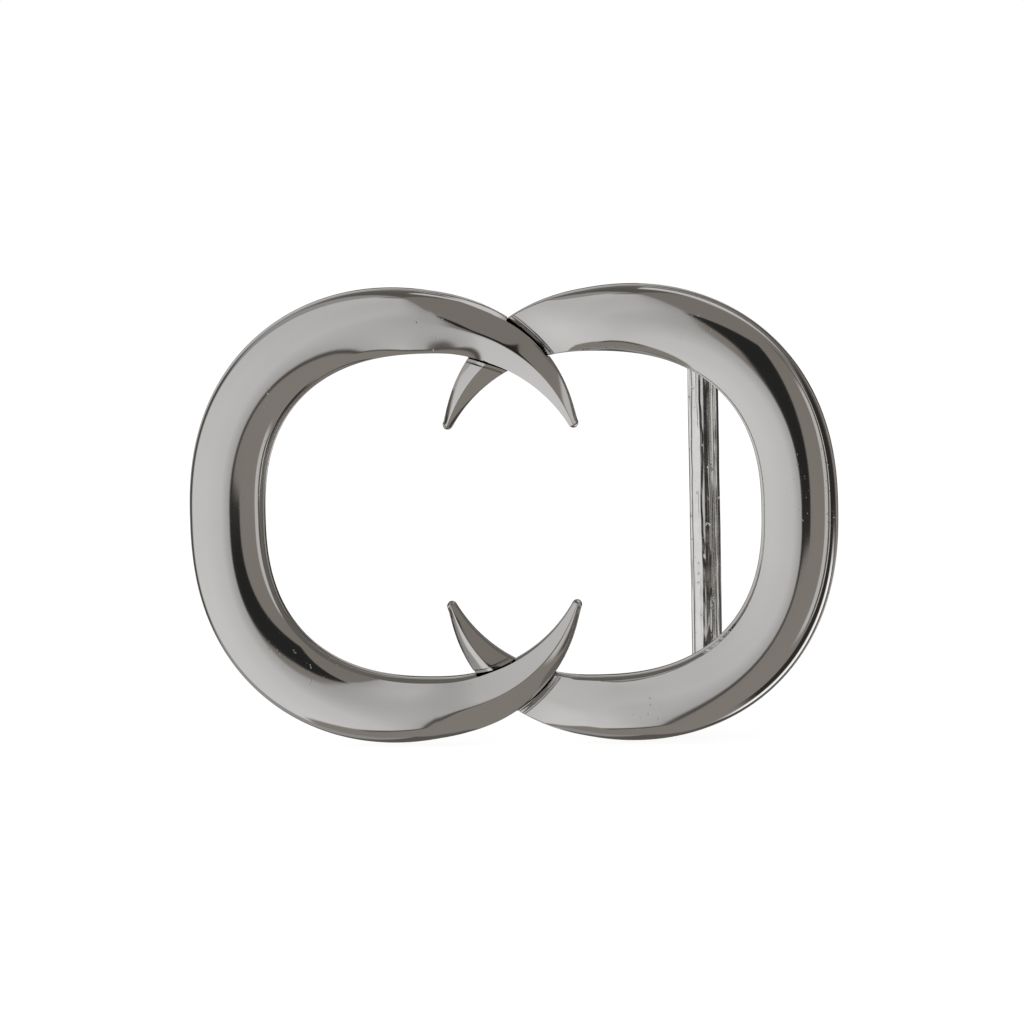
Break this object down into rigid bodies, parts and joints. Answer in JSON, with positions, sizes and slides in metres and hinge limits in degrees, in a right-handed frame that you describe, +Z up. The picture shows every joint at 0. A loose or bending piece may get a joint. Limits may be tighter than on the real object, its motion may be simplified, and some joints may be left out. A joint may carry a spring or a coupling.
{
  "type": "belt buckle",
  "caption": "Polished gunmetal belt buckle of two interlocked horned crescents, with a swivelling strap bale and a belt stud on the back.",
  "frame": {"origin": "centre of the closed buckle's bounding box: midway between the two crescents, half way through the depth", "axes": "+X to the viewer's right along the belt, -Y out of the front face, +Y towards the wearer, +Z up as worn"},
  "size_m": [0.0698, 0.0114, 0.0494],
  "materials": {
    "polished_plate": "mirror-polished black nickel (gunmetal) plating over zinc casting",
    "cast_plate": "gunmetal plating over an unpolished, slightly pitted casting",
    "rivet_steel": "plain turned steel, lightly plated"
  },
  "bodies": {
    "buckle": {"left_crescent": "polished_plate", "right_crescent": "polished_plate", "upper_crossing_rivet": "rivet_steel", "lower_crossing_rivet": "rivet_steel", "upper_hinge_pin": "rivet_steel", "lower_hinge_pin": "rivet_steel", "belt_stud": "polished_plate"},
    "bale": {"strap_bale": "cast_plate"}
  },
  "joints": [
    {"name": "bale_swing", "type": "hinge", "parent": "buckle", "child": "bale", "pos_m": [0.0135, 0.0011, 0], "axis": [0, 0, 1], "range_deg": [0, 105]}
  ]
}
